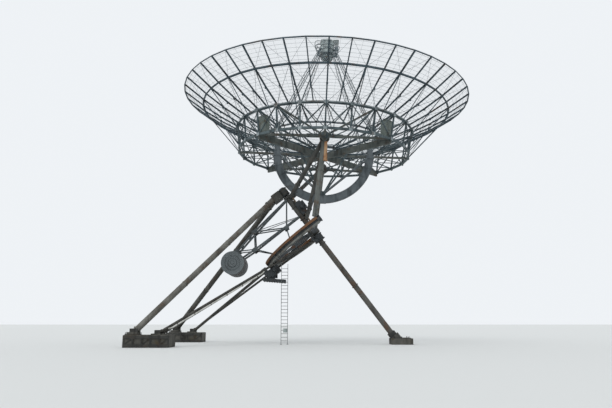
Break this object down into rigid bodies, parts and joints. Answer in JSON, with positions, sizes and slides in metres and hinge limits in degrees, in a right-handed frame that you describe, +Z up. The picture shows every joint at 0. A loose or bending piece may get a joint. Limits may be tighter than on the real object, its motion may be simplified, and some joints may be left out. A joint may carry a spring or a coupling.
{
  "type": "radio telescope dish",
  "caption": "Large mesh radio telescope dish on a steel equatorial mount with a counterweight, turning about a polar and a declination axis.",
  "frame": {"origin": "on the ground under the south leg, where the polar axis meets the ground", "axes": "+X to the south, +Y to the east, +Z up"},
  "size_m": [28.0616, 25.8746, 28.0307],
  "materials": {
    "leg_paint": "weathered grey-brown paint",
    "rusted_paint": "weathered paint with much rust",
    "bearing_paint": "dark greasy paint",
    "concrete": "rough grey concrete",
    "wheel_paint": "dark weathered paint, rust on the rim",
    "yoke_paint": "light grey weathered paint",
    "boom_paint": "blue-grey weathered paint",
    "counterweight_paint": "blue-grey weathered paint",
    "drum_paint": "dark blue-grey weathered paint",
    "rib_paint": "dark blue-grey weathered paint",
    "arc_paint": "grey weathered paint",
    "wire_mesh": "dull fine steel mesh",
    "cabinet_paint": "pale green-grey paint",
    "feed_paint": "blue-grey weathered paint",
    "ladder_steel": "dull galvanised steel"
  },
  "bodies": {
    "mount": {"north_leg_west": "leg_paint", "bearing_strut_west": "leg_paint", "drive_strut_west": "leg_paint", "north_footing_west": "concrete", "north_leg_east": "leg_paint", "bearing_strut_east": "leg_paint", "drive_strut_east": "leg_paint", "north_footing_east": "concrete", "south_leg": "rusted_paint", "south_footing": "concrete", "north_bearing": "bearing_paint", "south_bearing": "bearing_paint", "hour_drive": "bearing_paint", "ladder": "ladder_steel"},
    "polar_frame": {"polar_shaft": "bearing_paint", "hour_wheel": "wheel_paint", "yoke_west": "yoke_paint", "yoke_east": "yoke_paint", "counterweight_boom": "boom_paint", "counterweight": "counterweight_paint", "declination_drive": "bearing_paint"},
    "dish": {"drum_1": "drum_paint", "ribs_1": "rib_paint", "wire_mesh_1": "wire_mesh", "feed_leg_1": "feed_paint", "drum_2": "drum_paint", "ribs_2": "rib_paint", "wire_mesh_2": "wire_mesh", "feed_leg_2": "feed_paint", "drum_3": "drum_paint", "ribs_3": "rib_paint", "wire_mesh_3": "wire_mesh", "feed_leg_3": "feed_paint", "drum_4": "drum_paint", "ribs_4": "rib_paint", "wire_mesh_4": "wire_mesh", "feed_leg_4": "feed_paint", "hub_frame": "drum_paint", "drum_floor": "drum_paint", "cradle_west": "drum_paint", "cradle_east": "drum_paint", "declination_arc": "arc_paint", "arc_struts": "drum_paint", "focus_cabin": "feed_paint", "cabinet_north": "cabinet_paint", "cabinet_south": "cabinet_paint"}
  },
  "joints": [
    {"name": "hour_angle", "type": "hinge", "parent": "mount", "child": "polar_frame", "pos_m": [-8.44491, 0, 11.16618], "axis": [-0.6032, 0, 0.7976], "range_deg": [-90, 90]},
    {"name": "declination", "type": "hinge", "parent": "polar_frame", "child": "dish", "pos_m": [-6.41373, 0, 16.85241], "axis": [0, 1, 0], "range_deg": [-39.4, 85.6]}
  ]
}
